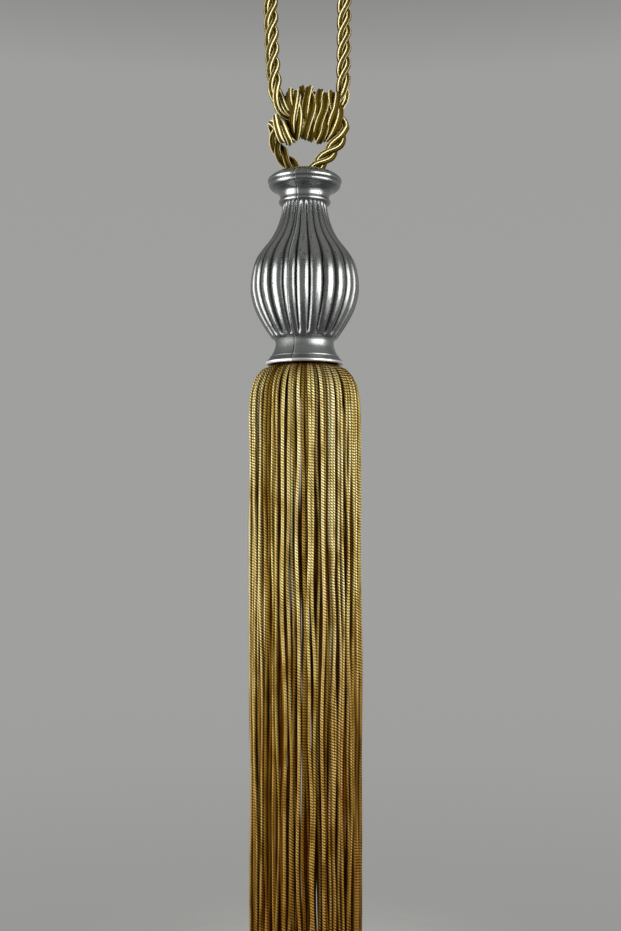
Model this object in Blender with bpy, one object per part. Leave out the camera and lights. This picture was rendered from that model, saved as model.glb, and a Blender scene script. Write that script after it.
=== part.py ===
"""Curtain tieback: a twisted rope loop, tied in a wound knot above a reeded moulded head,
from which a skirt of twisted cords hangs.

Sizes are in millimetres, and MM turns them into metres where a mesh is made. The origin is
the point under the loop's top bend that a wall hook carries. +Z is up, +X is to the right
and the front faces -Y. Each section below is measured down from its own top.
"""

import math
import random

import bmesh
import bpy
import numpy as np
from mathutils import Vector

MM = 0.001
GAP = 0.3

# Rope
ROPE_RADIUS = 3.85
ROPE_LAY = 24.0
PLIES = 3
PLY_GROOVE = 0.24
PLY_POINTS = 3
RING_STEP = 3.4

# Drops from the hook to the knot, from the knot to the head and along the head and skirt
LOOP_DROP = 240.0
LEG_DROP = 27.2
HEAD_HEIGHT = 98.0
SKIRT_LENGTH = 300.0

# Head
REEDS = 24
POINTS_PER_REED = 4
REED_TURN = -1.9
REED_DEPTH = 0.066
REED_CORE = 4.0
REED_CURVE = 1.4
THROAT_RADIUS = 8.5
THROAT_DEPTH = 11.0
FUNNEL_DEPTH = 5.4
RECESS_RADIUS = 17.2
RECESS_DEPTH = 4.0

# Skirt
CORD_RADIUS = 1.1
ROOT_RADIUS = 0.56
CORD_SIDES = 3
HEADING_RADIUS = RECESS_RADIUS - 2 * GAP
HEADING_SIDES = 44
HEADING_BELOW_RIM = 4.0
END_UNEVEN = 1.6
SPACING_UNEVEN = 0.42

GOLD = (0.42, 0.30, 0.09, 1.0)
SKIRT_GOLD = (0.50, 0.37, 0.12, 1.0)
SILVER = (0.56, 0.57, 0.58, 1.0)

# The loop, up its left side and down its right, as x, y and height above the knot's middle
LOOP_ROUTE = (
    (-9.6, 1.2, 1.9),
    (-11.9, 0.8, 4.4),
    (-13.9, 0.2, 9.0),
    (-15.2, 0.0, 17.5),
    (-16.3, 0.0, 34.0),
    (-17.0, 0.6, 57.0),
    (-17.7, 1.2, 85.0),
    (-18.2, 1.4, 120.0),
    (-18.4, 1.2, 155.0),
    (-18.0, 0.7, 190.0),
    (-16.7, 0.3, 214.0),
    (-13.6, 0.1, 230.6),
    (-7.8, 0.0, 240.5),
    (0.0, 0.0, 243.85),
    (7.9, 0.0, 240.5),
    (13.9, -0.1, 230.6),
    (17.2, -0.3, 214.0),
    (18.7, -0.7, 190.0),
    (19.5, -1.2, 155.0),
    (19.9, -1.4, 120.0),
    (19.9, -1.2, 85.0),
    (19.7, -0.6, 57.0),
    (19.5, 0.0, 32.0),
    (19.3, 0.2, 19.0),
    (19.3, 0.8, 13.0),
    (18.5, 3.6, 9.6),
)

# The rest of the rope, from the same middle: into the knot, through it, and down to the head
ENTRY_ROUTE = ((18.5, 3.6, 9.6), (16.4, 6.6, 5.4), (15.2, 7.6, -1.8), (14.0, 5.6, -8.4))
LEFT_EXIT_ROUTE = (
    (-10.2, -4.9, -12.6),
    (-12.1, -6.9, -9.2),
    (-13.5, -5.0, -5.6),
    (-14.4, -0.5, -4.7),
    (-14.7, 4.2, -6.6),
)
LEFT_LEG_ROUTE = (
    (-14.4, 5.6, -9.6),
    (-13.8, 5.0, -13.6),
    (-12.2, 3.6, -18.0),
    (-9.1, 2.8, -22.4),
    (-5.6, 2.6, -26.0),
    (-3.6, 2.6, -30.0),
    (-3.3, 2.6, -34.0),
    (-3.3, 2.6, -38.0),
)
CORE_ROUTE = (
    (-9.6, 1.2, 1.9),
    (-6.4, 0.8, 0.2),
    (-2.0, 0.0, -0.8),
    (6.6, 0.0, -1.2),
    (13.4, 0.0, -1.4),
    (17.2, -0.4, -3.4),
    (18.6, -1.2, -7.0),
)
RIGHT_LEG_ROUTE = (
    (18.4, -1.8, -9.0),
    (17.2, -2.6, -13.0),
    (14.2, -2.9, -18.0),
    (10.4, -2.9, -22.4),
    (6.6, -2.6, -26.4),
    (4.2, -2.6, -30.2),
    (3.3, -2.6, -34.2),
    (3.3, -2.6, -38.0),
)

# The knot's turns from right to left: x at the bottom, front and top, height of top and bottom
TURNS = (
    {"bottom_x": 13.2, "front_x": 15.4, "top_x": 13.8, "top": 9.2, "bottom": -11.2},
    {"bottom_x": 7.7, "front_x": 8.8, "top_x": 7.2, "top": 9.9, "bottom": -12.0},
    {"bottom_x": 1.9, "front_x": 2.2, "top_x": 0.4, "top": 12.0, "bottom": -11.0},
    {"bottom_x": -3.4, "front_x": -4.4, "top_x": -6.4, "top": 10.2, "bottom": -10.2},
)
TURN_DEPTH = 7.5
LAST_BOTTOM = {"bottom_x": -8.0, "bottom": -12.8}
STEPS_PER_TURN = 16
KNOT_STEP = 2.0
KNOT_SIDES = 10
KNOT_VOXEL = 0.8
KNOT_KEEP = 0.1
KNOT_BODY = (13.5, 6.5, 9.5)
KNOT_BODY_X = 4.5
SOCKET_SIDES = 14
SOCKET_GAP = 0.45
SOCKET_POINTS = 5

# Head outline in stretches that meet at corners: spacing of its rings, then radius and drop
HEAD_OUTLINE = (
    ("lip", 1.2, ((11.2, 2.5), (11.7, 2.0), (12.3, 2.2))),
    ("top", 3.4, ((12.6, 2.4), (14.6, 3.0), (16.4, 4.0), (17.5, 4.95))),
    ("band", 1.5, ((17.6, 5.05), (18.25, 5.55), (18.5, 6.35), (18.35, 7.15), (17.85, 7.7))),
    ("bead", 2.0, ((17.75, 7.85), (17.95, 8.5), (17.75, 9.2), (17.1, 10.0), (16.2, 10.6), (15.7, 10.8))),
    ("hollow", 3.0, ((15.4, 10.85), (14.2, 11.5), (13.0, 12.7), (12.4, 14.0), (12.25, 15.2), (12.5, 16.1))),
    ("ring", 1.6, ((12.65, 16.15), (12.98, 16.7), (12.8, 17.5), (12.2, 18.1), (11.6, 18.3))),
    ("reeds", 7.0, ((10.95, 18.4), (11.8, 23.0), (12.9, 27.0), (14.6, 31.4), (17.4, 36.2), (21.4, 41.3),
                    (24.6, 46.2), (26.4, 52.2), (27.1, 58.4), (26.8, 63.6), (24.8, 70.8), (21.3, 77.6),
                    (16.4, 85.0))),
    ("foot", 3.6, ((15.1, 85.6), (14.5, 87.2), (14.9, 90.0), (16.6, 93.6), (18.8, 96.2))),
    ("rim", 1.6, ((18.9, 96.3), (19.5, 97.2), (19.1, 98.0))),
)
REED_FADE = 3.2
REED_TOP_SHARE = 0.35
REED_FOOT_SHARE = 0.25

# Rings of cords: how many, radius at the heading, radius where they hang, and how uneven that is
CORD_RINGS = (
    {"count": 70, "root": 12.6, "hang": 26.3, "uneven": 0.8},
    {"count": 42, "root": 12.4, "hang": 22.9, "uneven": 0.8},
    {"count": 16, "root": 7.8, "hang": 16.5, "uneven": 1.5},
    {"count": 6, "root": 3.4, "hang": 8.0, "uneven": 1.5},
)
# How the outermost ring leaves the heading sideways, as a share of the way out and drop below the rim
FLARE_OUT = ((0.0, 1.0), (0.34, 1.6), (0.66, 4.6), (0.92, 12.5), (1.0, 25.0))
# How the inner rings leave its underside
FLARE_DOWN = ((0.0, 2.2), (0.08, 5.6), (0.55, 11.0), (1.0, 25.0))


def clear_scene():
    for thing in list(bpy.data.objects):
        bpy.data.objects.remove(thing)


def material(name, color, roughness, metallic):
    made = bpy.data.materials.new(name)
    made.use_nodes = True
    shader = made.node_tree.nodes["Principled BSDF"]
    shader.inputs["Base Color"].default_value = color
    shader.inputs["Roughness"].default_value = roughness
    shader.inputs["Metallic"].default_value = metallic
    return made


def add_object(name, mesh, finish=None):
    made = bpy.data.objects.new(name, mesh)
    bpy.context.scene.collection.objects.link(made)
    if finish:
        mesh.materials.append(finish)
    return made


def mesh_from_rings(name, rings):
    """A closed mesh: rings of points in millimetres, all of one size, with a cap at each end."""
    shape = bmesh.new()
    rows = [[shape.verts.new(Vector(p) * MM) for p in ring] for ring in rings]
    for upper, lower in zip(rows, rows[1:]):
        for i in range(len(upper)):
            j = (i + 1) % len(upper)
            shape.faces.new((upper[i], upper[j], lower[j], lower[i]))
    for ring in (rows[0], rows[-1]):
        middle = shape.verts.new(sum((v.co for v in ring), Vector()) / len(ring))
        for i in range(len(ring)):
            shape.faces.new((middle, ring[i], ring[(i + 1) % len(ring)]))
    bmesh.ops.recalc_face_normals(shape, faces=shape.faces)
    mesh = bpy.data.meshes.new(name)
    shape.to_mesh(mesh)
    shape.free()
    mesh.shade_smooth()
    mesh.set_sharp_from_angle(angle=math.radians(40))
    return mesh


def smooth_curve(points, step):
    """Points about step apart on a smooth curve through the given ones."""
    given = np.array(points, float)
    ends = np.vstack([2 * given[0] - given[1], given, 2 * given[-1] - given[-2]])
    fine = []
    for a, b, c, d in zip(ends, ends[1:], ends[2:], ends[3:]):
        for t in np.linspace(0, 1, 12, endpoint=False):
            fine.append(0.5 * (2 * b + (c - a) * t + (2 * a - 5 * b + 4 * c - d) * t**2
                               + (3 * b - a - 3 * c + d) * t**3))
    fine.append(given[-1])
    fine = np.array(fine)
    along = np.concatenate([[0], np.cumsum(np.linalg.norm(np.diff(fine, axis=0), axis=1))])
    stops = np.linspace(0, along[-1], max(2, round(along[-1] / step) + 1))
    return np.stack([np.interp(stops, along, fine[:, k]) for k in range(given.shape[1])], axis=1)


def carried_axes(line):
    """Two axes square to the line at each point, carried along it without turning about it."""
    ways = np.gradient(line, axis=0)
    ways /= np.linalg.norm(ways, axis=1)[:, None]
    side = np.cross(ways[0], (0.0, 1.0, 0.0))
    pairs = []
    for way in ways:
        side = side - way * (side @ way)
        side /= np.linalg.norm(side)
        pairs.append((side, np.cross(way, side)))
    return pairs


def plain_section(sides, radius):
    return [(2 * math.pi * i / sides, radius) for i in range(sides)]


def rope_section(radius):
    """The rope's three plies as round lobes with a groove between them, as angle and radius."""
    section = []
    for i in range(PLY_POINTS * PLIES):
        angle = 2 * math.pi * i / (PLY_POINTS * PLIES)
        lobe = abs(math.cos(PLIES * angle / 2))
        section.append((angle, radius * (1 - PLY_GROOVE + PLY_GROOVE * lobe)))
    return section


def sweep(line, section, lay=0.0):
    """Rings of a section carried along a line, turned once in each lay."""
    rings = []
    walked = 0.0
    for i, (point, (side, up)) in enumerate(zip(line, carried_axes(line))):
        if i:
            walked += float(np.linalg.norm(point - line[i - 1]))
        turn = 2 * math.pi * walked / lay if lay else 0.0
        rings.append([
            point + radius * (math.cos(angle + turn) * side + math.sin(angle + turn) * up)
            for angle, radius in section
        ])
    return rings


def below(route, drop):
    return [(x, y, z - drop) for x, y, z in route]


def knot_turn(turn, after):
    """One turn of the knot: up its front, over the top and down behind to the next bottom."""
    stops = (0.0, 0.25, 0.5, 1.0)
    places = (turn["bottom_x"], turn["front_x"], turn["top_x"], after["bottom_x"])
    points = []
    for i in range(STEPS_PER_TURN):
        share = i / STEPS_PER_TURN
        low = turn["bottom"] if share < 0.5 else after["bottom"]
        middle = (turn["top"] + low) / 2
        reach = (turn["top"] - low) / 2
        angle = 2 * math.pi * share
        points.append((
            float(np.interp(share, stops, places)),
            -TURN_DEPTH * math.sin(angle),
            middle - reach * math.cos(angle),
        ))
    return points


def knot_routes():
    """The two lengths of rope that make the knot: the winding one and the one that it is wound on."""
    winding = list(ENTRY_ROUTE)
    for turn, after in zip(TURNS, TURNS[1:] + (LAST_BOTTOM,)):
        winding += knot_turn(turn, after)
    winding += list(LEFT_EXIT_ROUTE) + list(LEFT_LEG_ROUTE[:2])
    core = list(CORE_ROUTE) + list(RIGHT_LEG_ROUTE[:2])
    return winding, core


def boolean(target, other, operation):
    cut = target.modifiers.new(operation.title(), "BOOLEAN")
    cut.object = other
    cut.operation = operation
    cut.solver = "EXACT"


def guide(thing):
    thing.hide_render = True
    thing.display_type = "WIRE"


def join_meshes(name, meshes):
    joined = bmesh.new()
    for mesh in meshes:
        joined.from_mesh(mesh)
    whole = bpy.data.meshes.new(name)
    joined.to_mesh(whole)
    joined.free()
    return whole


def make_rope_tube(name, route, finish):
    line = smooth_curve(below(route, LOOP_DROP), RING_STEP)
    rings = sweep(line, rope_section(ROPE_RADIUS), ROPE_LAY)
    return add_object(name, mesh_from_rings(name, rings), finish)


def make_knot(finish):
    """The wound knot as one solid, with a socket where each free length of the rope leaves it."""
    strands = []
    for route in knot_routes():
        line = smooth_curve(below(route, LOOP_DROP), KNOT_STEP)
        strands.append(mesh_from_rings("strand", sweep(line, plain_section(KNOT_SIDES, ROPE_RADIUS))))
    body = bmesh.new()
    bmesh.ops.create_icosphere(body, subdivisions=3, radius=1.0)
    centre = Vector((KNOT_BODY_X, 0.0, -LOOP_DROP))
    for v in body.verts:
        v.co = (centre + v.co * Vector(KNOT_BODY)) * MM
    middle = bpy.data.meshes.new("middle")
    body.to_mesh(middle)
    body.free()
    knot = add_object("rope_knot", join_meshes("rope_knot", strands + [middle]), finish)
    fuse = knot.modifiers.new("Fuse", "REMESH")
    fuse.mode = "VOXEL"
    fuse.voxel_size = KNOT_VOXEL * MM
    fewer = knot.modifiers.new("Fewer", "DECIMATE")
    fewer.ratio = KNOT_KEEP
    fewer.use_collapse_triangulate = True
    loop_ends = (LOOP_ROUTE[:SOCKET_POINTS], LOOP_ROUTE[::-1][:SOCKET_POINTS])
    for number, route in enumerate(loop_ends + (LEFT_LEG_ROUTE, RIGHT_LEG_ROUTE)):
        line = smooth_curve(below(route, LOOP_DROP), KNOT_STEP)
        back = line[0] - line[1]
        line = np.vstack([line[0] + back / np.linalg.norm(back) * GAP, line[1:]])
        name = f"socket_{number}"
        rings = sweep(line, plain_section(SOCKET_SIDES, ROPE_RADIUS + SOCKET_GAP))
        socket = add_object(name, mesh_from_rings(name, rings))
        guide(socket)
        boolean(knot, socket, "DIFFERENCE")
    return knot


def head_profile():
    """Radius, drop and depth of reeding of each ring down the head's outside."""
    rings = []
    for name, spacing, stations in HEAD_OUTLINE:
        points = smooth_curve(stations, spacing)
        start, end = stations[0][1], stations[-1][1]
        for radius, drop in points:
            fade = 0.0
            if name == "reeds":
                below_top = (drop - start) / REED_FADE + REED_TOP_SHARE
                above_foot = (end - drop) / REED_FADE + REED_FOOT_SHARE
                fade = min(1.0, below_top, above_foot)
            rings.append((float(radius), float(drop), fade))
    return rings


def reeded_ring(radius, drop, fade):
    """One ring of the head: round ribs that meet in narrow grooves."""
    top = -LOOP_DROP - LEG_DROP
    count = REEDS * POINTS_PER_REED
    ring = []
    for i in range(count):
        around = 2 * math.pi * i / count
        valley = 1 - abs(math.cos(REEDS * around / 2))
        angle = around + math.radians(REED_TURN)
        reach = radius - REED_DEPTH * fade * (radius - REED_CORE) * valley**REED_CURVE
        ring.append((reach * math.sin(angle), -reach * math.cos(angle), top - drop))
    return ring


def make_head(finish):
    rings = [reeded_ring(THROAT_RADIUS, THROAT_DEPTH, 0.0), reeded_ring(THROAT_RADIUS, FUNNEL_DEPTH, 0.0)]
    rings += [reeded_ring(*row) for row in head_profile()]
    rings.append(reeded_ring(RECESS_RADIUS, HEAD_HEIGHT, 0.0))
    rings.append(reeded_ring(RECESS_RADIUS, HEAD_HEIGHT - RECESS_DEPTH, 0.0))
    return add_object("head", mesh_from_rings("head", rings), finish)


def cord_ring(ring, outermost, draw):
    """Where each cord of a ring goes, as a list of points with the cord's radius at each."""
    rim = -LOOP_DROP - LEG_DROP - HEAD_HEIGHT
    flare = FLARE_OUT if outermost else FLARE_DOWN
    routes = []
    for i in range(ring["count"]):
        slack = 2 * math.pi * ring["hang"] / ring["count"] - 2 * CORD_RADIUS
        start = 2 * math.pi * (i + (0.5 if outermost else 0.2)) / ring["count"]
        angle = start + draw.uniform(-SPACING_UNEVEN, SPACING_UNEVEN) * slack / ring["hang"]
        hang = ring["hang"] + draw.uniform(-1, 1) * ring["uneven"]
        points = []
        for share, drop in flare:
            out = ring["root"] + (hang - ring["root"]) * share
            turn = start + (angle - start) * share
            points.append((out * math.sin(turn), -out * math.cos(turn), rim - drop, share))
        x, y, _, _ = points[-1]
        end = rim - SKIRT_LENGTH + draw.uniform(0, 1) * END_UNEVEN
        points.append((x, y, end, 1.0))
        routes.append(points)
    return routes


def cord_mesh(points):
    line = np.array([p[:3] for p in points])
    rings = []
    for (point, (side, up)), (_, _, _, share) in zip(zip(line, carried_axes(line)), points):
        radius = ROOT_RADIUS + (CORD_RADIUS - ROOT_RADIUS) * share
        rings.append([
            point + radius * (math.cos(angle) * side + math.sin(angle) * up)
            for angle, _ in plain_section(CORD_SIDES, radius)
        ])
    return mesh_from_rings("cord", rings)


def make_skirt(finish):
    """The heading that sits in the head's foot, with the cords' roots fused into it."""
    rim = -LOOP_DROP - LEG_DROP - HEAD_HEIGHT
    tops = (rim + RECESS_DEPTH - GAP, rim - HEADING_BELOW_RIM)
    rings = [
        [(r * math.cos(a), r * math.sin(a), z) for a, r in plain_section(HEADING_SIDES, HEADING_RADIUS)]
        for z in tops
    ]
    skirt = add_object("skirt", mesh_from_rings("skirt", rings), finish)
    draw = random.Random(7)
    cords = []
    for number, ring in enumerate(CORD_RINGS):
        cords += [cord_mesh(points) for points in cord_ring(ring, number == 0, draw)]
    strands = add_object("cords", join_meshes("cords", cords))
    guide(strands)
    boolean(skirt, strands, "UNION")
    return skirt


def main():
    clear_scene()
    rope_finish = material("rope_gold", GOLD, 0.4, 0.0)
    make_rope_tube("rope_loop", LOOP_ROUTE, rope_finish)
    make_rope_tube("rope_leg_left", LEFT_LEG_ROUTE, rope_finish)
    make_rope_tube("rope_leg_right", RIGHT_LEG_ROUTE, rope_finish)
    make_knot(rope_finish)
    make_head(material("head_silver", SILVER, 0.3, 0.9))
    make_skirt(material("skirt_gold", SKIRT_GOLD, 0.5, 0.0))


main()
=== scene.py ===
"""The looks of a curtain tieback: silver reeded head, gold rope and gold twisted skirt.

Sizes are in millimetres, and MM turns them into metres where a mesh is made. The origin is
the hanging point, under the loop's top bend. The front faces -Y.
"""

import math
import random

import bpy
import numpy as np
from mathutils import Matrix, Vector


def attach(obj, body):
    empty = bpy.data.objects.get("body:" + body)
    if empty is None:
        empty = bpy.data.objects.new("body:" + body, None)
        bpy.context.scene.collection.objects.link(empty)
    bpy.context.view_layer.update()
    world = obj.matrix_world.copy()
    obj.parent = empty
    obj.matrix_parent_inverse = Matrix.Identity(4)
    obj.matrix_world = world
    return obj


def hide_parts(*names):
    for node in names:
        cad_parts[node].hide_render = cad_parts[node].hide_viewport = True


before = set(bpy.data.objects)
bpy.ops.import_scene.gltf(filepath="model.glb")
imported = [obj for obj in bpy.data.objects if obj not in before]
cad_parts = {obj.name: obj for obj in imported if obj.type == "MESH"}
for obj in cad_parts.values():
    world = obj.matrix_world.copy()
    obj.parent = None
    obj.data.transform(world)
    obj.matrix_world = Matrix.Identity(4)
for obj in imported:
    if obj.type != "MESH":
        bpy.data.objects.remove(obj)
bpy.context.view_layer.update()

MM = 0.001

# Drops from the hook to the knot, from the knot to the head's lip and along head and skirt
LOOP_DROP = 240.0
LEG_DROP = 27.2
HEAD_HEIGHT = 98.0
SKIRT_LENGTH = 300.0
LIP = -LOOP_DROP - LEG_DROP
RIM = LIP - HEAD_HEIGHT

# Steps of a smooth curve between two given points
SPAN_STEPS = 12

# Rope: three plies of five dull yarns, with a thread in three of the five grooves of each ply
ROPE_LAY = 23.6
ROPE_STEP = 1.3
PLIES = 3
PLY_ORBIT = 2.1
YARNS = 5
YARN_SECTION = (1.13, 1.34, 1.75, 1.75, 1.34)
THREAD_ORBIT = 1.58
THREAD_RADIUS = 0.33
PALE_THREAD_RADIUS = 0.26
THREAD_SIDES = 5
THREAD_START = 20.0
BRIGHT_THREADS = (0,)
PALE_THREADS = (2, 4)
CORD_PATH_EVERY = 4

# A tube of the rope has its kind in the whole part of its u, counted in fours: 0 is a ply
KINDS = 4
PALE_KIND = 2
BRIGHT_KIND = 3

# Added to a u before it is rounded down, so that rounding errors don't change its whole part
WHOLE_MARGIN = 0.001

# The rope inside the knot: its lay, where the knot ends, the height of the axis that it is wound
# about, and how its plies are pressed towards that axis, spread and given thicker threads
KNOT_LAY = 38.0
KNOT_REACH = 14.5
KNOT_FADE = 3.0
WINDING_AXIS = -1.0
KNOT_CORE = 3.0
KNOT_FLATTEN = 0.5
KNOT_SPREAD = 1.04
KNOT_THREADS = 1.35
KNOT_LEFT = -12.0

# The route of the rope as x, y and height above the knot's middle
RIGHT_LEG_ROUTE = (
    (3.3, -2.6, -38.0),
    (3.3, -2.6, -34.2),
    (4.2, -2.6, -30.2),
    (6.6, -2.6, -26.4),
    (10.4, -2.9, -22.4),
    (14.2, -2.9, -18.0),
    (17.2, -2.6, -13.0),
    (18.4, -1.8, -9.0),
)
CORE_ROUTE = (
    (18.6, -1.2, -7.0),
    (17.2, -0.4, -3.4),
    (13.4, 0.0, -1.4),
    (6.6, 0.0, -1.2),
    (-2.0, 0.0, -0.8),
    (-6.4, 0.8, 0.2),
)
LOOP_ROUTE = (
    (-9.6, 1.2, 1.9),
    (-11.9, 0.8, 4.4),
    (-13.9, 0.2, 9.0),
    (-15.2, 0.0, 17.5),
    (-16.3, 0.0, 34.0),
    (-17.0, 0.6, 57.0),
    (-17.7, 1.2, 85.0),
    (-18.2, 1.4, 120.0),
    (-18.4, 1.2, 155.0),
    (-18.0, 0.7, 190.0),
    (-16.7, 0.3, 214.0),
    (-13.6, 0.1, 230.6),
    (-7.8, 0.0, 240.5),
    (0.0, 0.0, 243.85),
    (7.9, 0.0, 240.5),
    (13.9, -0.1, 230.6),
    (17.2, -0.3, 214.0),
    (18.7, -0.7, 190.0),
    (19.5, -1.2, 155.0),
    (19.9, -1.4, 120.0),
    (19.9, -1.2, 85.0),
    (19.7, -0.6, 57.0),
    (19.5, 0.0, 32.0),
    (19.3, 0.2, 19.0),
    (19.3, 0.8, 13.0),
)
LOOP_MIDDLE = 7
ENTRY_ROUTE = ((18.5, 3.6, 9.6), (16.4, 6.6, 5.4), (15.2, 7.6, -1.8), (14.0, 5.6, -8.4))
TURNS = (
    {"bottom_x": 13.2, "front_x": 15.4, "top_x": 13.8, "top": 9.2, "bottom": -11.2},
    {"bottom_x": 7.7, "front_x": 8.8, "top_x": 7.2, "top": 9.9, "bottom": -12.0},
    {"bottom_x": 1.9, "front_x": 2.2, "top_x": 0.4, "top": 12.0, "bottom": -11.0},
    {"bottom_x": -3.4, "front_x": -4.4, "top_x": -6.4, "top": 10.2, "bottom": -10.2},
)
TURN_DEPTH = 7.5
LAST_BOTTOM = {"bottom_x": -8.0, "bottom": -12.8}
STEPS_PER_TURN = 16
LEFT_EXIT_ROUTE = (
    (-10.2, -4.9, -12.6),
    (-12.1, -6.9, -9.2),
    (-13.5, -5.0, -5.6),
    (-14.4, -0.5, -4.7),
    (-14.7, 4.2, -6.6),
)
LEFT_LEG_ROUTE = (
    (-14.4, 5.6, -9.6),
    (-13.8, 5.0, -13.6),
    (-12.2, 3.6, -18.0),
    (-9.1, 2.8, -22.4),
    (-5.6, 2.6, -26.0),
    (-3.6, 2.6, -30.0),
    (-3.3, 2.6, -34.0),
    (-3.3, 2.6, -38.0),
)

# Head. Reeds start and end shallow, and are shallower on the neck than on the bulb
REEDS = 24
REED_POINTS = 12
REED_TURN = -1.9
REED_DEPTH = 1.6
REED_ROUNDNESS = 1.6
REED_TOP_SHARE = 0.3
REED_TOP_FADE = 2.2
REED_FOOT_SHARE = 0.15
REED_FOOT_FADE = 3.0
NECK_RADIUS = 11.0
NECK_SHARE = 0.45
DEPTH_GROWTH = 16.0
# How the painted shade in the grooves grows from the neck outwards, in millimetres of radius
GROOVE_SHADE_GROWTH = 10.0
REED_STEP = 0.9
PLAIN_STEP = 0.35
SHARP_ANGLE = 50.0
THROAT_RADIUS = 8.5
THROAT_DEPTH = 11.0
FUNNEL_DEPTH = 5.4
FUNNEL_TOP_RADIUS = 10.2
FUNNEL_TOP_DEPTH = 3.6
RECESS_RADIUS = 17.2
RECESS_DEPTH = 4.0
RECESS_EDGE = 0.4
FOOT_HEIGHT = 12.3
# Height of the painted highlight along the rim
RIM_HIGHLIGHT_HEIGHT = 1.3
HEAD_OUTLINE = (
    ("lip", ((11.2, 2.5), (11.7, 2.0), (12.3, 2.2))),
    ("top", ((12.6, 2.4), (14.6, 3.0), (16.4, 4.0), (17.5, 4.95))),
    ("band", ((17.6, 5.05), (18.25, 5.55), (18.5, 6.35), (18.35, 7.15), (17.85, 7.7))),
    ("bead", ((17.75, 7.85), (17.95, 8.5), (17.75, 9.2), (17.1, 10.0), (16.2, 10.6), (15.7, 10.8))),
    ("hollow", ((15.4, 10.85), (14.2, 11.5), (13.0, 12.7), (12.4, 14.0), (12.25, 15.2), (12.5, 16.1))),
    ("ring", ((12.65, 16.15), (12.98, 16.7), (12.8, 17.5), (12.2, 18.1), (11.6, 18.3))),
    ("reeds", ((10.95, 18.4), (11.8, 23.0), (12.9, 27.0), (14.6, 31.4), (17.4, 36.2), (21.4, 41.3),
               (24.6, 46.2), (26.4, 52.2), (27.1, 58.4), (26.8, 63.6), (24.8, 70.8), (21.3, 77.6),
               (16.4, 85.0))),
    ("foot", ((15.1, 85.6), (14.5, 87.2), (14.9, 90.0), (16.6, 93.6), (18.8, 96.2))),
    ("rim", ((18.9, 96.3), (19.4, 96.8), (19.5, 97.4), (19.1, 98.0))),
)

# The mould line down the front left: its angles and width in degrees, its height, and the
# width of the strip about it with painted shade left of the line and a painted highlight right of it
MOULD_LINE_TOP = -14.2
MOULD_LINE_FOOT = -18.7
MOULD_LINE_WIDTH = 0.9
MOULD_LINE_ON_REEDS = 0.08
MOULD_LINE_ON_PLAIN = 0.16
MOULD_LINE_STRIP = 3.0

# Skirt. A ring has its cords' number, the radii of their roots and of where they hang, how
# uneven that is, and where its first cord is, as a share of the spacing
CORD_RADIUS = 0.77
ROOT_RADIUS = 0.66
ROOT_TAPER = 12.0
END_ROUNDING = 1.2
END_SHARE = 0.12
CORD_SIDES = 8
CORD_LAY = 2.8
CORD_STRANDS = 2
CORD_STEP = 4.2
HANGING_PARTS = 20
HEADING_RADIUS = RECESS_RADIUS - 0.6
HEADING_ABOVE_RIM = RECESS_DEPTH - 0.3
HEADING_BELOW_RIM = 4.0
HEADING_EDGE_UP = 1.0
HEADING_EDGE_IN = 1.2
HEADING_SIDES = 64
END_UNEVEN = 1.6
SKIRT_DRIFT = 0.8
SIDE_SLACK = 0.45
CORD_RINGS = (
    {"count": 88, "root": 12.6, "hang": 26.1, "uneven": 1.5, "first": 0.5},
    {"count": 46, "root": 12.4, "hang": 23.0, "uneven": 1.4, "first": 0.2},
    {"count": 16, "root": 7.8, "hang": 17.0, "uneven": 1.5, "first": 0.2},
    {"count": 6, "root": 3.4, "hang": 8.0, "uneven": 1.5, "first": 0.2},
)

# How cords leave their roots, as share of the way out and drop below the rim: the outermost
# ring and the others
FLARE_OUT = ((0.0, 1.0), (0.34, 1.6), (0.66, 4.6), (0.92, 12.5), (1.0, 25.0))
FLARE_DOWN = ((0.0, 2.2), (0.08, 5.6), (0.55, 11.0), (1.0, 25.0))

# How a cord wanders: the shortest wave, longest wave and size of each of its two swings
WANDER_WAVES = ((60.0, 110.0, 0.5), (130.0, 220.0, 1.0))
WANDER_PHASE = 6.3
WANDER_START = 60.0
WANDER_GROWTH = 1.5
WANDER_SIDEWAYS = 0.95
WANDER_OUTWARD = 0.5
ROUTE_SEED = 7
SWAY_SEED = 23

# A cord has its own tone in the whole part of its u, and the rings' tones start 100 apart
RING_TONES = 100
CORD_TONES = 90
HEADING_TONE = 150.0

# Patches along a cord: their length, and how far apart two cords' patterns are taken
PATCH_LENGTH = 16.0
PATCH_SHIFT = 7.3

# Camera, from the photograph: 1100 pixels of focal length on a picture 931 pixels high
PICTURE_HEIGHT = 931
FOCAL_PIXELS = 1100
SENSOR = 36.0
CAMERA_X = 2.9
CAMERA_DISTANCE = 550.0
HORIZON_Z = -426.0
PICTURE_MIDDLE_Z = -415.5
VIEW_HEIGHT = 465.5

# Floor
FLOOR_GAP = 24.0
FLOOR_RADIUS = 210.0
FLOOR_FADE_START = 50.0
FLOOR_FADE_END = 200.0
FLOOR_SIDES = 64

# Lights, in metres and watts. Each side light is an upper and a weaker lower panel
LIGHT_DISTANCE = 0.78
SIDE_LIGHTS = (
    {"name": "left", "azimuth": -68.0, "width": 0.66, "power": 6.6, "lower_share": 0.6},
    {"name": "right", "azimuth": 55.0, "width": 0.82, "power": 8.4, "lower_share": 0.15},
)
UPPER_PANEL = {"z": -0.25, "height": 0.66}
LOWER_PANEL = {"z": -0.80, "height": 0.44}
FRONT_LIGHT = {"place": (0.05, -1.1, -0.05), "aim": (0.0, 0.0, -0.36), "width": 0.22, "height": 0.30}
FRONT_POWER = 0.3


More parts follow.
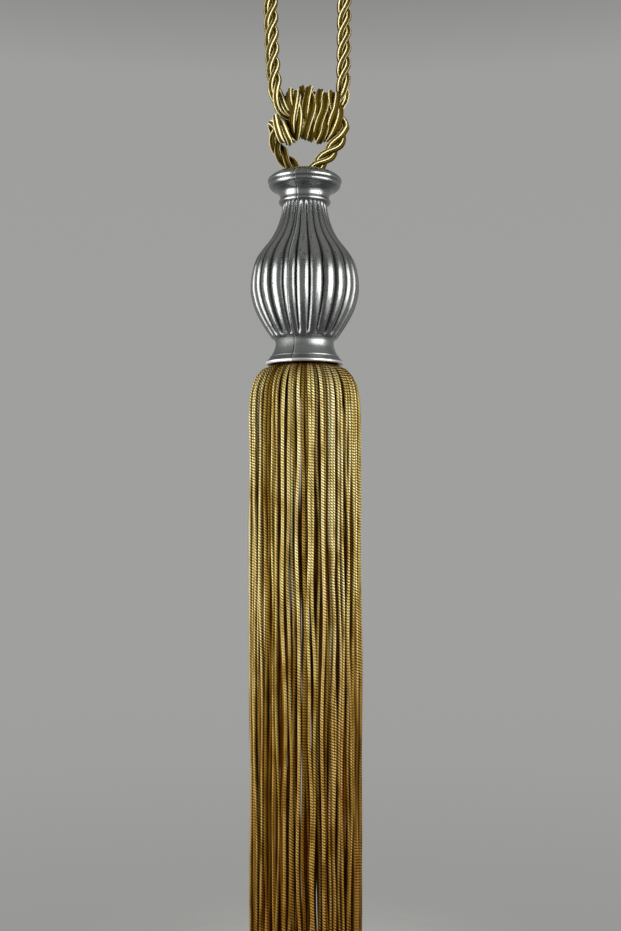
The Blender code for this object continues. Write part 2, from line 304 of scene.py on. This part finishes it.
class Graph:
    """The nodes of a material or a world. An input is given as a socket, a number or a colour."""

    def __init__(self, owner):
        owner.use_nodes = True
        self.nodes = owner.node_tree.nodes
        self.links = owner.node_tree.links

    def plug(self, value, socket):
        if isinstance(value, bpy.types.NodeSocket):
            self.links.new(value, socket)
        else:
            socket.default_value = value

    def fill(self, made, **inputs):
        """Sets the inputs of a node. An underscore in a name stands for a space."""
        for name, value in inputs.items():
            self.plug(value, made.inputs[name.replace("_", " ")])

    def maths(self, operation, *values):
        made = self.nodes.new("ShaderNodeMath")
        made.operation = operation
        for value, socket in zip(values, made.inputs):
            self.plug(value, socket)
        return made.outputs[0]

    def between(self, factor, low, high):
        """A number that goes from low to high as the factor goes from 0 to 1."""
        return self.maths("MULTIPLY_ADD", factor, high - low, low)

    def whole(self, around):
        """The whole part of a tube's u, which says what tube it is."""
        return self.maths("FLOOR", self.maths("ADD", around, WHOLE_MARGIN))

    def length(self, vector):
        made = self.nodes.new("ShaderNodeVectorMath")
        made.operation = "LENGTH"
        self.links.new(vector, made.inputs[0])
        return made.outputs["Value"]

    def mix(self, factor, a, b, blend="MIX"):
        made = self.nodes.new("ShaderNodeMix")
        made.data_type = "RGBA"
        made.blend_type = blend
        self.fill(made, Factor=factor, A=a, B=b)
        return made.outputs["Result"]

    def tinted(self, factor, colour, tint):
        return self.mix(factor, colour, tint, "MULTIPLY")

    def ramp(self, factor, *stops):
        """A Color Ramp node with (position, colour) stops."""
        made = self.nodes.new("ShaderNodeValToRGB")
        self.links.new(factor, made.inputs["Fac"])
        elements = made.color_ramp.elements
        while len(elements) > 1:
            elements.remove(elements[-1])
        elements[0].position = stops[0][0]
        elements[0].color = (*stops[0][1], 1.0)
        for position, colour in stops[1:]:
            elements.new(position).color = (*colour, 1.0)
        return made.outputs["Color"]

    def noise(self, vector, scale, detail):
        made = self.nodes.new("ShaderNodeTexNoise")
        self.fill(made, Vector=vector, Scale=scale, Detail=detail)
        return made.outputs["Fac"]

    def bump(self, height, strength, distance):
        made = self.nodes.new("ShaderNodeBump")
        self.fill(made, Height=height, Strength=strength, Distance=distance)
        return made.outputs["Normal"]

    def attribute(self, name):
        made = self.nodes.new("ShaderNodeAttribute")
        made.attribute_name = name
        return made.outputs["Fac"]

    def uv_map(self):
        made = self.nodes.new("ShaderNodeUVMap")
        made.uv_map = "UVMap"
        return made.outputs["UV"]

    def coordinates(self, kind):
        return self.nodes.new("ShaderNodeTexCoord").outputs[kind]

    def split(self, vector):
        made = self.nodes.new("ShaderNodeSeparateXYZ")
        self.links.new(vector, made.inputs["Vector"])
        return made.outputs["X"], made.outputs["Y"], made.outputs["Z"]

    def join(self, x, y):
        made = self.nodes.new("ShaderNodeCombineXYZ")
        self.fill(made, X=x, Y=y)
        return made.outputs["Vector"]


def new_material(name):
    made = bpy.data.materials.new(name)
    graph = Graph(made)
    return made, graph, graph.nodes["Principled BSDF"]


def add_mesh(name, points, faces, material, uvs=None):
    mesh = bpy.data.meshes.new(name)
    mesh.from_pydata([tuple(p) for p in points], [], faces)
    mesh.materials.append(material)
    if uvs is not None:
        layer = mesh.uv_layers.new(name="UVMap")
        layer.data.foreach_set("uv", np.array(uvs, np.float32).ravel())
    mesh.shade_smooth()
    made = bpy.data.objects.new(name, mesh)
    bpy.context.scene.collection.objects.link(made)
    return made


def add_point_values(made, name, values):
    layer = made.data.attributes.new(name, "FLOAT", "POINT")
    layer.data.foreach_set("value", np.asarray(values, np.float32))


class Builder:
    """Gathers closed tubes into one mesh, with a UV map: u once round and v in millimetres along."""

    def __init__(self):
        self.points = []
        self.faces = []
        self.uvs = []

    def tube(self, rings, along, shift=0.0, once=1.0):
        """Adds a tube through rings of points in millimetres, closed at both ends."""
        first = len(self.points)
        sides = len(rings[0])
        for ring in rings:
            self.points.extend(np.asarray(ring) * MM)
        for k in range(len(rings) - 1):
            for i in range(sides):
                j = (i + 1) % sides
                a = first + k * sides
                b = a + sides
                self.faces.append((a + i, a + j, b + j, b + i))
                self.uvs += [
                    (once * i / sides + shift, along[k]),
                    (once * (i + 1) / sides + shift, along[k]),
                    (once * (i + 1) / sides + shift, along[k + 1]),
                    (once * i / sides + shift, along[k + 1]),
                ]
        for k, flip in ((0, True), (len(rings) - 1, False)):
            ids = [first + k * sides + i for i in range(sides)]
            if flip:
                ids.reverse()
            self.faces.append(tuple(ids))
            self.uvs += [(0.5 + shift, along[k])] * sides

    def make(self, name, material):
        return add_mesh(name, self.points, self.faces, material, self.uvs)


def distances(line):
    """How far each point of a line is along it."""
    return np.concatenate([[0], np.cumsum(np.linalg.norm(np.diff(line, axis=0), axis=1))])


def smooth_curve(points, step):
    """Points about step apart on a smooth curve through the given ones."""
    given = np.array(points, float)
    ends = np.vstack([2 * given[0] - given[1], given, 2 * given[-1] - given[-2]])
    fine = []
    for a, b, c, d in zip(ends, ends[1:], ends[2:], ends[3:]):
        for t in np.linspace(0, 1, SPAN_STEPS, endpoint=False):
            fine.append(0.5 * (2 * b + (c - a) * t + (2 * a - 5 * b + 4 * c - d) * t**2
                               + (3 * b - a - 3 * c + d) * t**3))
    fine.append(given[-1])
    fine = np.array(fine)
    along = distances(fine)
    stops = np.linspace(0, along[-1], max(2, round(along[-1] / step) + 1))
    return np.stack([np.interp(stops, along, fine[:, k]) for k in range(given.shape[1])], axis=1)


def carried_axes(line):
    """Two axes square to the line at each point, carried along it without turning about it."""
    ways = np.gradient(line, axis=0)
    ways /= np.linalg.norm(ways, axis=1)[:, None]
    side = np.cross(ways[0], (0.0, 1.0, 0.0))
    sides = []
    for way in ways:
        side = side - way * (side @ way)
        side = side / np.linalg.norm(side)
        sides.append(side)
    sides = np.array(sides)
    return sides, np.cross(ways, sides)


def tube_rings(line, radii, sides):
    """Round rings of the given radii along a line."""
    side, up = carried_axes(line)
    angles = np.arange(sides) * 2 * math.pi / sides
    cos, sin = np.cos(angles), np.sin(angles)
    return [
        line[k] + radii[k] * (cos[:, None] * side[k] + sin[:, None] * up[k])
        for k in range(len(line))
    ]


def knot_turn(turn, after):
    """One turn of the knot, from its bottom up the front, over the top and down behind."""
    stops = (0.0, 0.25, 0.5, 1.0)
    places = (turn["bottom_x"], turn["front_x"], turn["top_x"], after["bottom_x"])
    points = []
    for i in range(STEPS_PER_TURN):
        share = i / STEPS_PER_TURN
        low = turn["bottom"] if share < 0.5 else after["bottom"]
        middle = (turn["top"] + low) / 2
        reach = (turn["top"] - low) / 2
        angle = 2 * math.pi * share
        points.append((
            float(np.interp(share, stops, places)),
            -TURN_DEPTH * math.sin(angle),
            middle - reach * math.cos(angle),
        ))
    return points


def rope_line():
    """The rope's middle line from the foot of its right leg, through the knot and round the loop."""
    route = list(RIGHT_LEG_ROUTE + CORE_ROUTE + LOOP_ROUTE + ENTRY_ROUTE)
    for turn, after in zip(TURNS, TURNS[1:] + (LAST_BOTTOM,)):
        route += knot_turn(turn, after)
    route += list(LEFT_EXIT_ROUTE + LEFT_LEG_ROUTE)
    return smooth_curve([(x, y, z - LOOP_DROP) for x, y, z in route], ROPE_STEP)


def in_knot(line):
    """How far each point is inside the knot, from 0 to 1."""
    height = np.abs(line[:, 2] + LOOP_DROP)
    return np.clip((KNOT_REACH - height) / KNOT_FADE, 0, 1)


def rope_turns(line, along):
    """How far the plies have turned at each point, in radians. The lay is longer inside the knot."""
    inside = in_knot(line)
    rate = 2 * math.pi * ((1 - inside) / ROPE_LAY + inside / KNOT_LAY)
    return np.concatenate([[0], np.cumsum(np.diff(along) * (rate[1:] + rate[:-1]) / 2)])


def flattened(offsets, line):
    """Ply offsets pressed towards the axis of winding, where the rope is wound tightly."""
    outward = line - np.array((0.0, 0.0, WINDING_AXIS - LOOP_DROP))
    outward[:, 0] = 0.0
    reach = np.linalg.norm(outward, axis=1)
    outward /= np.maximum(reach, 1.0)[:, None]
    wound = np.clip((line[:, 0] - KNOT_LEFT) / KNOT_FADE, 0, 1)
    outside_core = np.clip((reach - KNOT_CORE) / KNOT_FADE, 0, 1)
    pressed = KNOT_FLATTEN * in_knot(line) * wound * outside_core
    return offsets - (pressed * np.sum(offsets * outward, axis=1))[:, None] * outward


def strand_rings(path, side, up, section, sizes):
    """Rings about a path, square to the rope that carries it. A section holds angles and radii."""
    angles = np.array([angle for angle, _ in section])
    radii = np.array([radius for _, radius in section])
    across = (radii * np.cos(angles))[:, None]
    upward = (radii * np.sin(angles))[:, None]
    return [path[k] + sizes[k] * (across * side[k] + upward * up[k]) for k in range(len(path))]


def yarn_section(start):
    """The outline of a ply: a lobe for each yarn, from the middle of one groove to the next."""
    count = YARNS * len(YARN_SECTION)
    return [(start + 2 * math.pi * i / count, YARN_SECTION[i % len(YARN_SECTION)]) for i in range(count)]


def front_angle(line, side, up):
    """The angle about the rope that faces the front, half way up the loop's left side."""
    x, y, z = LOOP_ROUTE[LOOP_MIDDLE]
    nearest = int(np.argmin(np.linalg.norm(line - np.array((x, y, z - LOOP_DROP)), axis=1)))
    front = np.array((0.0, -1.0, 0.0))
    return math.atan2(up[nearest] @ front, side[nearest] @ front)


def make_rope(material):
    line = rope_line()
    along = distances(line)
    side, up = carried_axes(line)
    turns = rope_turns(line, along)
    start = front_angle(line, side, up) + math.radians(THREAD_START)
    builder = Builder()
    inside = in_knot(line)
    sizes = 1 + (KNOT_SPREAD - 1) * inside
    thickness = 1 + (KNOT_THREADS - 1) * inside
    for ply in range(PLIES):
        turn = turns + 2 * math.pi * ply / PLIES
        offsets = PLY_ORBIT * (np.cos(turn)[:, None] * side + np.sin(turn)[:, None] * up)
        centre = line + flattened(offsets, line)
        rings = strand_rings(centre, side, up, yarn_section(start), sizes)
        builder.tube(rings, along, shift=float(KINDS * ply))
        for yarn in BRIGHT_THREADS + PALE_THREADS:
            own = start + 2 * math.pi * yarn / YARNS
            path = centre + THREAD_ORBIT * sizes[:, None] * (math.cos(own) * side + math.sin(own) * up)
            bright = yarn in BRIGHT_THREADS
            radius = THREAD_RADIUS if bright else PALE_THREAD_RADIUS
            section = [(2 * math.pi * i / THREAD_SIDES, radius) for i in range(THREAD_SIDES)]
            shift = KINDS * (ply * YARNS + yarn) + (BRIGHT_KIND if bright else PALE_KIND)
            builder.tube(strand_rings(path, side, up, section, thickness), along, shift=float(shift))
    rope = builder.make("rope", material)
    tubes = [YARNS * len(YARN_SECTION)] + [THREAD_SIDES] * len(BRIGHT_THREADS + PALE_THREADS)
    add_point_values(rope, "wound", np.concatenate([np.repeat(inside, sides) for sides in tubes * PLIES]))
    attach(rope, "root")
    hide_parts("rope_loop", "rope_knot", "rope_leg_left", "rope_leg_right")
    path = line[::CORD_PATH_EVERY]
    if (len(line) - 1) % CORD_PATH_EVERY:
        path = np.vstack([path, line[-1]])


def head_rings():
    """Radius, drop below the lip and share of full reeding of each ring down the outside."""
    rings = []
    for name, stations in HEAD_OUTLINE:
        reeded = name == "reeds"
        start, end = stations[0][1], stations[-1][1]
        for radius, drop in smooth_curve(stations, REED_STEP if reeded else PLAIN_STEP):
            share = 0.0
            if reeded:
                from_top = REED_TOP_SHARE + (drop - start) / REED_TOP_FADE
                from_foot = REED_FOOT_SHARE + (end - drop) / REED_FOOT_FADE
                share = max(0.0, min(1.0, from_top, from_foot))
            rings.append((float(radius), float(drop), share))
    return rings


def grown(radius, growth):
    """A share that grows from the neck to a ring that is wider by growth."""
    return NECK_SHARE + (1 - NECK_SHARE) * (radius - NECK_RADIUS) / growth


def head_ring(radius, drop, share=0.0, ridge=0.0):
    """One ring of the head, with round reeds between narrow grooves and the mould line's ridge."""
    count = REEDS * REED_POINTS
    depth = REED_DEPTH * share * grown(radius, DEPTH_GROWTH)
    mould = MOULD_LINE_TOP + (MOULD_LINE_FOOT - MOULD_LINE_TOP) * drop / HEAD_HEIGHT
    ring = []
    for i in range(count):
        around = 2 * math.pi * i / count
        wave = abs(math.cos(REEDS * around / 2))
        reach = radius - depth * (1 - wave) ** REED_ROUNDNESS
        angle = around + math.radians(REED_TURN)
        off = (math.degrees(angle) - mould + 180) % 360 - 180
        reach += ridge * math.exp(-((off / MOULD_LINE_WIDTH) ** 2))
        ring.append((reach * math.sin(angle), -reach * math.cos(angle), LIP - drop))
    return ring


def make_head(material):
    throat = (
        (THROAT_RADIUS, THROAT_DEPTH),
        (THROAT_RADIUS, FUNNEL_DEPTH),
        (FUNNEL_TOP_RADIUS, FUNNEL_TOP_DEPTH),
    )
    recess = (
        (RECESS_RADIUS + RECESS_EDGE, HEAD_HEIGHT),
        (RECESS_RADIUS, HEAD_HEIGHT - RECESS_EDGE),
        (RECESS_RADIUS, HEAD_HEIGHT - RECESS_DEPTH),
    )
    rings = [head_ring(radius, drop) for radius, drop in throat]
    shares = [0.0] * len(throat)
    for radius, drop, share in head_rings():
        ridge = MOULD_LINE_ON_REEDS if share else MOULD_LINE_ON_PLAIN
        rings.append(head_ring(radius, drop, share, ridge))
        shares.append(share * min(1.0, grown(radius, GROOVE_SHADE_GROWTH)))
    rings += [head_ring(radius, drop) for radius, drop in recess]
    shares += [0.0] * len(recess)
    builder = Builder()
    builder.tube([ring[::-1] for ring in rings], range(len(rings)))
    head = builder.make("head", material)
    # Groove weight of each point, which sets the painted shade in the grooves
    waves = [(1 - abs(math.cos(math.pi * i / REED_POINTS))) ** 2 for i in range(REEDS * REED_POINTS)]
    add_point_values(head, "groove", [share * wave for share in shares for wave in waves[::-1]])
    head.data.set_sharp_from_angle(angle=math.radians(SHARP_ANGLE))
    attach(head, "root")
    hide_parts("head")


def cord_routes(ring, flare, draw):
    """The points and the angle of each cord of a ring, from its root out and down."""
    routes = []
    for i in range(ring["count"]):
        slack = SIDE_SLACK * 2 * math.pi * ring["hang"] / ring["count"]
        start = 2 * math.pi * (i + ring["first"]) / ring["count"]
        angle = start + draw.uniform(-1.0, 1.0) * slack / ring["hang"]
        hang = ring["hang"] + draw.uniform(-1, 1) * ring["uneven"]
        points = []
        for share, drop in flare:
            out = ring["root"] + (hang - ring["root"]) * share
            turn = start + (angle - start) * share
            points.append((out * math.sin(turn), -out * math.cos(turn), RIM - drop))
        x, y, top = points[-1]
        end = RIM - SKIRT_LENGTH + draw.uniform(0, 1) * END_UNEVEN
        points += [(x, y, top + (end - top) * part / HANGING_PARTS) for part in range(1, HANGING_PARTS + 1)]
        routes.append((points, angle))
    return routes


def wander(along, draw, reach):
    """A smooth offset along a cord, zero at its root."""
    total = 0.0
    for low, high, size in WANDER_WAVES:
        wave = draw.uniform(low, high)
        phase = draw.uniform(0, WANDER_PHASE)
        total = total + size * np.sin(2 * math.pi * along / wave + phase)
    grow = np.clip(along / WANDER_START, 0, 1) ** WANDER_GROWTH
    return reach * grow * total / sum(size for _, _, size in WANDER_WAVES)


def heading_rings():
    """The heading that holds the cords' roots, from inside the head's foot to below its rim."""
    angles = np.arange(HEADING_SIDES) * 2 * math.pi / HEADING_SIDES
    stations = (
        (HEADING_RADIUS, RIM + HEADING_ABOVE_RIM),
        (HEADING_RADIUS, RIM - HEADING_BELOW_RIM + HEADING_EDGE_UP),
        (HEADING_RADIUS - HEADING_EDGE_IN, RIM - HEADING_BELOW_RIM),
    )
    return [[(r * math.cos(a), r * math.sin(a), z) for a in angles][::-1] for r, z in stations]


def make_skirt(material):
    draw = random.Random(ROUTE_SEED)
    sway = random.Random(SWAY_SEED)
    builder = Builder()
    rings = heading_rings()
    builder.tube(rings, [0.0] * len(rings), shift=HEADING_TONE, once=0.0)
    for number, ring in enumerate(CORD_RINGS):
        for points, angle in cord_routes(ring, FLARE_DOWN if number else FLARE_OUT, draw):
            line = smooth_curve(points, CORD_STEP)
            along = distances(line)
            sideways = np.array((math.cos(angle), math.sin(angle), 0.0))
            outward = np.array((math.sin(angle), -math.cos(angle), 0.0))
            line = line + np.outer(wander(along, sway, WANDER_SIDEWAYS), sideways)
            line = line + np.outer(wander(along, sway, WANDER_OUTWARD), outward)
            line[:, 0] += SKIRT_DRIFT * along / SKIRT_LENGTH
            radii = ROOT_RADIUS + (CORD_RADIUS - ROOT_RADIUS) * np.clip(along / ROOT_TAPER, 0, 1)
            radii = radii * np.sqrt(np.clip((along[-1] - along) / END_ROUNDING + END_SHARE, 0, 1))
            offset = sway.uniform(0, CORD_LAY)
            tone = number * RING_TONES + sway.randrange(CORD_TONES)
            builder.tube(tube_rings(line, radii, CORD_SIDES), along + offset, shift=float(tone))
    skirt = builder.make("skirt", material)
    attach(skirt, "root")
    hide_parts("skirt")


def rope_material():
    """Dull yarns with painted shade in the grooves between them, and shiny threads, of which the pale ones
    show more in the knot.
    """
    made, graph, shader = new_material("rope_gold")
    uv = graph.uv_map()
    around = graph.split(uv)[0]
    noise = graph.noise(uv, scale=0.30, detail=1.0)
    wound = graph.attribute("wound")
    kind = graph.maths("MODULO", graph.whole(around), float(KINDS))
    is_thread = graph.maths("GREATER_THAN", kind, PALE_KIND - 0.5)
    is_bright = graph.maths("GREATER_THAN", kind, BRIGHT_KIND - 0.5)
    streaky = graph.ramp(
        noise,
        (0.35, (0.022, 0.010, 0.0001)),
        (0.50, (0.070, 0.042, 0.0004)),
        (0.65, (0.16, 0.106, 0.0012)),
    )
    yarn = graph.mix(graph.between(wound, 0.68, 0.78), streaky, (0.100, 0.063, 0.0004, 1.0))
    part = graph.maths("FRACT", graph.maths("MULTIPLY", around, float(YARNS)))
    from_groove = graph.maths("ABSOLUTE", graph.maths("SUBTRACT", part, 0.5))
    # Painted shade in the grooves between the yarns of a ply, weaker in the knot
    groove = graph.ramp(
        from_groove,
        (0.06, (1.0, 1.0, 1.0)),
        (0.20, (0.21, 0.13, 0.06)),
        (0.28, (0.04, 0.013, 0.001)),
    )
    shaded = graph.tinted(graph.between(wound, 0.90, 0.70), yarn, groove)
    dull = graph.mix(is_thread, shaded, yarn)
    thread = graph.ramp(
        noise,
        (0.30, (0.96, 0.82, 0.38)),
        (0.55, (0.99, 0.91, 0.52)),
    )
    pale_share = graph.maths("MULTIPLY", is_thread, graph.between(wound, 0.47, 0.85))
    graph.fill(
        shader,
        Base_Color=graph.mix(graph.maths("MAXIMUM", pale_share, is_bright), dull, thread),
        Roughness=graph.between(is_thread, 0.55, 0.35),
        IOR=1.3,
        Specular_Tint=(1.0, 0.72, 0.20, 1.0),
    )
    return made


def head_material():
    """Worn silver paint with fine specks, painted shade in the grooves, painted shade left of the mould
    line and a painted highlight right of it, a dull foot with painted shade on its left side, and a painted
    highlight along the rim.
    """
    made, graph, shader = new_material("head_silver")
    place = graph.coordinates("Object")
    paint = graph.ramp(
        graph.noise(place, scale=900.0, detail=3.0),
        (0.28, (0.03, 0.03, 0.03)),
        (0.32, (0.41, 0.424, 0.418)),
        (1.0, (0.53, 0.549, 0.54)),
    )
    # Painted shade in the grooves between the reeds, weaker on the narrow neck
    groove_shade = graph.ramp(
        graph.attribute("groove"),
        (0.0, (1.0, 1.0, 1.0)),
        (0.30, (0.85, 0.85, 0.84)),
        (0.60, (0.26, 0.26, 0.25)),
    )
    colour = graph.tinted(1.0, paint, groove_shade)
    x, y, z = graph.split(place)

    # Distance from the mould line in millimetres, positive to its right
    lean = math.radians(MOULD_LINE_FOOT - MOULD_LINE_TOP) / HEAD_HEIGHT
    start = math.radians(MOULD_LINE_TOP) + lean * LIP
    angle = graph.maths("ARCTAN2", x, graph.maths("MULTIPLY", y, -1.0))
    turn = graph.maths("SUBTRACT", angle, graph.maths("MULTIPLY_ADD", z, -lean / MM, start))
    off = graph.maths("MULTIPLY", graph.maths("MULTIPLY", turn, graph.length(graph.join(x, y))), 1 / MM)
    # Painted shade in a thin line just left of the mould line and a painted highlight just right of it
    seam_shade_and_highlight = graph.ramp(
        graph.maths("MULTIPLY_ADD", off, 1 / MOULD_LINE_STRIP, 0.5),
        (0.22, (0.60, 0.60, 0.60)),
        (0.29, (0.12, 0.12, 0.12)),
        (0.39, (0.12, 0.12, 0.12)),
        (0.46, (0.80, 0.80, 0.80)),
        (0.51, (1.0, 1.0, 1.0)),
        (0.58, (1.0, 1.0, 1.0)),
        (0.65, (0.60, 0.60, 0.60)),
    )
    colour = graph.tinted(1.0, colour, seam_shade_and_highlight)
    foot = graph.maths("LESS_THAN", z, (RIM + FOOT_HEIGHT) * MM)
    # Painted shade: the foot left of the mould line is darkened, and made rougher, to dim the highlight
    # there
    shaded_left_foot = graph.maths("MULTIPLY", foot, graph.maths("LESS_THAN", off, 0.0))
    colour = graph.tinted(shaded_left_foot, colour, (0.58, 0.58, 0.57, 1.0))
    # A painted highlight: the rim's lower edge is made paler so that it shows as a bright line
    rim = graph.maths("LESS_THAN", z, (RIM + RIM_HIGHLIGHT_HEIGHT) * MM)
    colour = graph.mix(rim, colour, (0.78, 0.79, 0.78, 1.0))

    stretch = graph.nodes.new("ShaderNodeMapping")
    graph.fill(stretch, Vector=place, Scale=(1.0, 1.0, 0.10))
    streaks = graph.noise(stretch.outputs["Vector"], scale=900.0, detail=2.0)
    rough = graph.noise(place, scale=260.0, detail=5.0)
    uneven = graph.maths("MULTIPLY_ADD", rough, 0.5, streaks)
    roughness = graph.maths("MULTIPLY_ADD", shaded_left_foot, 0.20, graph.between(foot, 0.25, 0.33))
    graph.fill(
        shader,
        Base_Color=colour,
        Metallic=0.95,
        Roughness=roughness,
        Normal=graph.bump(uneven, strength=0.17, distance=0.0004),
    )
    return made


def skirt_material():
    """Two bright strands twisted about each other, with painted shade between them and painted highlights
    on their crests, and painted shade at the roots, on the inner rings and lower down.
    """
    made, graph, shader = new_material("skirt_gold")
    around, along, _ = graph.split(graph.uv_map())
    whole = graph.whole(around)
    phase = graph.maths(
        "ADD",
        graph.maths("MULTIPLY", around, float(CORD_STRANDS)),
        graph.maths("MULTIPLY", along, CORD_STRANDS / CORD_LAY),
    )
    crest = graph.maths("ABSOLUTE", graph.maths("SINE", graph.maths("MULTIPLY", phase, math.pi)))
    # Painted shade in the grooves between the two strands and painted highlights on their crests
    colour = graph.ramp(
        crest,
        (0.0, (0.052, 0.0060, 0.0001)),
        (0.50, (0.086, 0.014, 0.0001)),
        (0.66, (0.180, 0.088, 0.002)),
        (0.80, (0.68, 0.56, 0.10)),
        (0.90, (1.0, 0.98, 0.60)),
    )
    own = graph.nodes.new("ShaderNodeTexWhiteNoise")
    own.noise_dimensions = "1D"
    graph.fill(own, W=whole)
    tone = graph.ramp(
        own.outputs["Value"],
        (0.0, (0.29, 0.19, 0.05)),
        (0.25, (0.57, 0.48, 0.26)),
        (0.50, (0.92, 0.91, 0.78)),
        (0.70, (1.0, 1.0, 1.0)),
    )
    spot = graph.join(
        graph.maths("MULTIPLY", whole, PATCH_SHIFT),
        graph.maths("DIVIDE", along, PATCH_LENGTH),
    )
    patches = graph.ramp(
        graph.noise(spot, scale=1.0, detail=1.0),
        (0.32, (0.52, 0.42, 0.25)),
        (0.50, (0.92, 0.86, 0.72)),
        (0.62, (1.0, 1.0, 1.0)),
    )
    colour = graph.tinted(1.0, graph.tinted(1.0, colour, tone), patches)
    # Painted shade on the cords of the inner rings and the heading, which sit behind the outer ring
    inside = graph.maths("GREATER_THAN", around, RING_TONES - 0.5)
    colour = graph.tinted(inside, colour, (0.36, 0.15, 0.02, 1.0))
    # Painted shadow at the roots under the rim, and painted shade growing towards the cords' lower ends
    root_and_lower_shade = graph.ramp(
        graph.maths("DIVIDE", along, SKIRT_LENGTH),
        (0.015, (0.34, 0.24, 0.14)),
        (0.06, (1.0, 1.0, 1.0)),
        (0.34, (1.0, 0.97, 0.92)),
        (0.62, (0.70, 0.54, 0.33)),
        (1.0, (0.45, 0.270, 0.095)),
    )
    graph.fill(
        shader,
        Base_Color=graph.tinted(1.0, colour, root_and_lower_shade),
        Metallic=0.4,
        Specular_IOR_Level=0.15,
        Roughness=0.30,
        IOR=1.2,
        Specular_Tint=(1.0, 0.66, 0.16, 1.0),
        Normal=graph.bump(crest, strength=0.8, distance=0.0002),
    )
    return made


def make_world():
    """A grey room with a dark floor, a dark band above the camera's view and a pale ceiling."""
    world = bpy.data.worlds.new("room")
    bpy.context.scene.world = world
    graph = Graph(world)
    upward = graph.split(graph.coordinates("Generated"))[2]
    colour = graph.ramp(
        graph.between(upward, 0.5, 1.0),
        (0.0, (0.06, 0.06, 0.06)),
        (0.20, (0.10, 0.10, 0.10)),
        (0.30, (0.300, 0.302, 0.290)),
        (0.38, (0.345, 0.347, 0.336)),
        (0.45, (0.355, 0.357, 0.345)),
        (0.675, (0.345, 0.346, 0.336)),
        (0.76, (0.10, 0.10, 0.10)),
        (0.84, (0.34, 0.34, 0.33)),
        (1.0, (0.42, 0.42, 0.40)),
    )
    graph.fill(graph.nodes["Background"], Color=colour, Strength=1.0)


def make_floor():
    """A pale floor that fades out round the part."""
    made, graph, shader = new_material("floor_pale")
    fade = graph.nodes.new("ShaderNodeMapRange")
    fade.interpolation_type = "SMOOTHSTEP"
    graph.fill(
        fade,
        Value=graph.length(graph.coordinates("Object")),
        From_Min=FLOOR_FADE_START * MM,
        From_Max=FLOOR_FADE_END * MM,
        To_Min=1.0,
        To_Max=0.0,
    )
    graph.fill(shader, Base_Color=(0.42, 0.42, 0.41, 1.0), Roughness=0.9, Alpha=fade.outputs["Result"])
    reach = FLOOR_RADIUS * MM
    angles = [2 * math.pi * i / FLOOR_SIDES for i in range(FLOOR_SIDES)]
    points = [(0.0, 0.0, 0.0)] + [(reach * math.cos(a), reach * math.sin(a), 0.0) for a in angles]
    faces = [(0, i + 1, (i + 1) % FLOOR_SIDES + 1) for i in range(FLOOR_SIDES)]
    floor = add_mesh("floor", points, faces, made)
    floor.location = (0.0, 0.0, (RIM - SKIRT_LENGTH - FLOOR_GAP) * MM)


def add_light(name, place, aim, width, height, power):
    light = bpy.data.lights.new(name, "AREA")
    light.shape = "RECTANGLE"
    light.size = width
    light.size_y = height
    light.energy = power
    made = bpy.data.objects.new(name, light)
    made.location = place
    way = Vector(aim) - Vector(place)
    made.rotation_euler = way.to_track_quat("-Z", "Y").to_euler()
    made.visible_camera = False
    bpy.context.scene.collection.objects.link(made)
    return made


def make_lights():
    """A tall soft light at each side, and a faint one in front that leaves no highlight."""
    for side in SIDE_LIGHTS:
        azimuth = math.radians(side["azimuth"])
        x, y = LIGHT_DISTANCE * math.sin(azimuth), -LIGHT_DISTANCE * math.cos(azimuth)
        panels = (("_upper", UPPER_PANEL, 1.0), ("_lower", LOWER_PANEL, side["lower_share"]))
        for suffix, panel, share in panels:
            place, aim = (x, y, panel["z"]), (0.0, 0.0, panel["z"])
            power = side["power"] * share
            add_light(side["name"] + suffix, place, aim, side["width"], panel["height"], power)
    front = add_light("front", **FRONT_LIGHT, power=FRONT_POWER)
    front.visible_glossy = False


def make_camera():
    lens = bpy.data.cameras.new("camera")
    lens.sensor_fit = "AUTO"
    lens.sensor_width = SENSOR
    lens.lens = SENSOR * FOCAL_PIXELS / PICTURE_HEIGHT
    lens.shift_y = (PICTURE_MIDDLE_Z - HORIZON_Z) / VIEW_HEIGHT
    camera = bpy.data.objects.new("camera", lens)
    camera.location = (CAMERA_X * MM, -CAMERA_DISTANCE * MM, HORIZON_Z * MM)
    camera.rotation_euler = (math.radians(90), 0.0, 0.0)
    bpy.context.scene.collection.objects.link(camera)
    bpy.context.scene.camera = camera


bpy.context.scene.view_settings.view_transform = "Standard"
make_rope(rope_material())
make_head(head_material())
make_skirt(skirt_material())
make_world()
make_floor()
make_lights()
make_camera()
